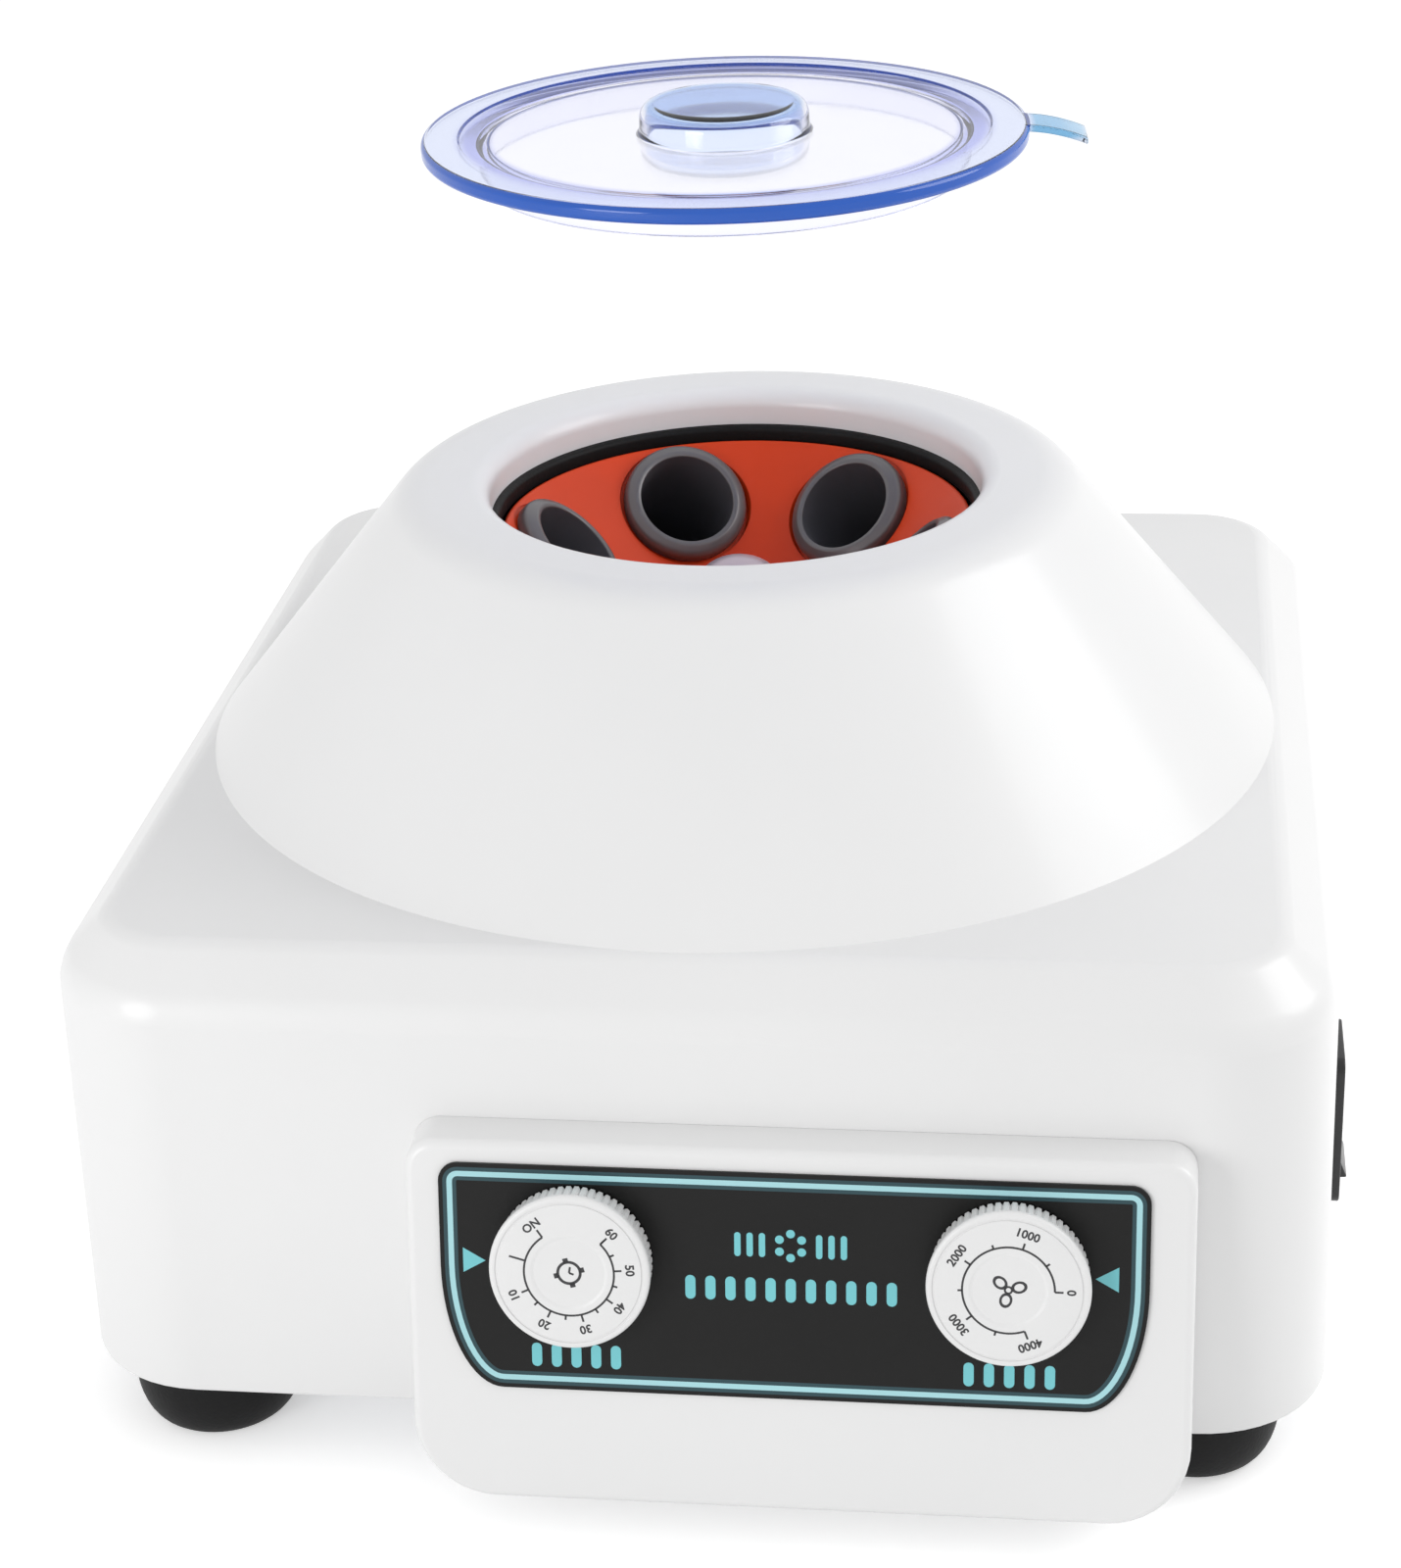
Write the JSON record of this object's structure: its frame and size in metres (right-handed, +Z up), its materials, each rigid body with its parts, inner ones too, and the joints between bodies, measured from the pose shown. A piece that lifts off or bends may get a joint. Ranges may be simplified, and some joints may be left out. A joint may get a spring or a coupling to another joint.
{
  "type": "benchtop centrifuge",
  "caption": "Small bench centrifuge with a conical cover, angled tube rotor, lift-off lid, timer and speed dials on a leaning front panel.",
  "frame": {"origin": "on the bench, under the middle of the box that holds the whole machine", "axes": "+Z up, -Y out of the front with the dials, +X to the right as seen from the front"},
  "size_m": [0.274, 0.3099, 0.2635],
  "materials": {
    "shell_white": "glossy white moulded plastic",
    "trim_rubber": "satin black rubber",
    "foot_rubber": "matt black rubber",
    "zinc_steel": "zinc-plated steel",
    "dark_steel": "dark painted steel",
    "rotor_orange": "semi-gloss orange plastic",
    "sleeve_grey": "grey anodised aluminium",
    "nut_grey": "satin grey metal",
    "label_black": "dark printed foil",
    "knob_white": "satin white plastic",
    "switch_black": "glossy black plastic",
    "timer_case": "cream plastic",
    "board_green": "green circuit board",
    "brass": "turned brass",
    "lid_blue": "clear pale-blue plastic"
  },
  "bodies": {
    "body": {"housing_shell": "shell_white", "base_plate": "zinc_steel", "guard_bowl": "dark_steel", "opening_trim": "trim_rubber", "control_housing": "shell_white", "housing_screw_left": "zinc_steel", "housing_screw_right": "zinc_steel", "label_plate": "label_black", "timer_unit": "timer_case", "timer_nut": "brass", "speed_potentiometer": "zinc_steel", "speed_nut": "brass", "switch_frame": "switch_black", "power_inlet": "switch_black", "inlet_screw_left": "zinc_steel", "inlet_screw_right": "zinc_steel", "motor_can": "dark_steel", "motor_plate": "zinc_steel", "motor_bearing_upper": "zinc_steel", "motor_bearing_lower": "zinc_steel", "motor_damper_1": "foot_rubber", "motor_damper_2": "foot_rubber", "motor_damper_3": "foot_rubber", "control_board": "board_green", "foot_front_left": "foot_rubber", "foot_screw_front_left": "zinc_steel", "bowl_pillar_front_left": "zinc_steel", "foot_front_right": "foot_rubber", "foot_screw_front_right": "zinc_steel", "bowl_pillar_front_right": "zinc_steel", "foot_rear_left": "foot_rubber", "foot_screw_rear_left": "zinc_steel", "bowl_pillar_rear_left": "zinc_steel", "foot_rear_right": "foot_rubber", "foot_screw_rear_right": "zinc_steel", "bowl_pillar_rear_right": "zinc_steel"},
    "rotor": {"rotor_dish": "rotor_orange", "rotor_hub": "zinc_steel", "rotor_nut": "nut_grey", "motor_shaft": "zinc_steel", "tube_sleeve_1": "sleeve_grey", "tube_sleeve_2": "sleeve_grey", "tube_sleeve_3": "sleeve_grey", "tube_sleeve_4": "sleeve_grey", "tube_sleeve_5": "sleeve_grey", "tube_sleeve_6": "sleeve_grey"},
    "timer_dial": {"timer_knob": "knob_white", "timer_shaft": "brass"},
    "speed_dial": {"speed_knob": "knob_white", "speed_shaft": "brass"},
    "rocker": {"power_rocker": "switch_black"},
    "cover": {"lid": "lid_blue"}
  },
  "joints": [
    {"name": "rotor_spin", "type": "hinge", "parent": "body", "child": "rotor", "pos_m": [-0.00201, 0.00551, 0.15], "axis": [0, 0, 1], "continuous": true},
    {"name": "timer_turn", "type": "hinge", "parent": "body", "child": "timer_dial", "pos_m": [-0.02125, -0.14404, 0.06208], "axis": [0, 0.9842, -0.1772], "range_deg": [-55, 225]},
    {"name": "speed_turn", "type": "hinge", "parent": "body", "child": "speed_dial", "pos_m": [0.06715, -0.14404, 0.06208], "axis": [0, 0.9842, -0.1772], "range_deg": [0, 291]},
    {"name": "rocker_tilt", "type": "hinge", "parent": "body", "child": "rocker", "pos_m": [0.13253, -0.07775, 0.064], "axis": [0, 1, 0], "range_deg": [0, 18]},
    {"name": "lid_lift", "type": "slide", "parent": "body", "child": "cover", "axis": [0, 0, 1], "range_m": [-0.0758, 0]}
  ]
}
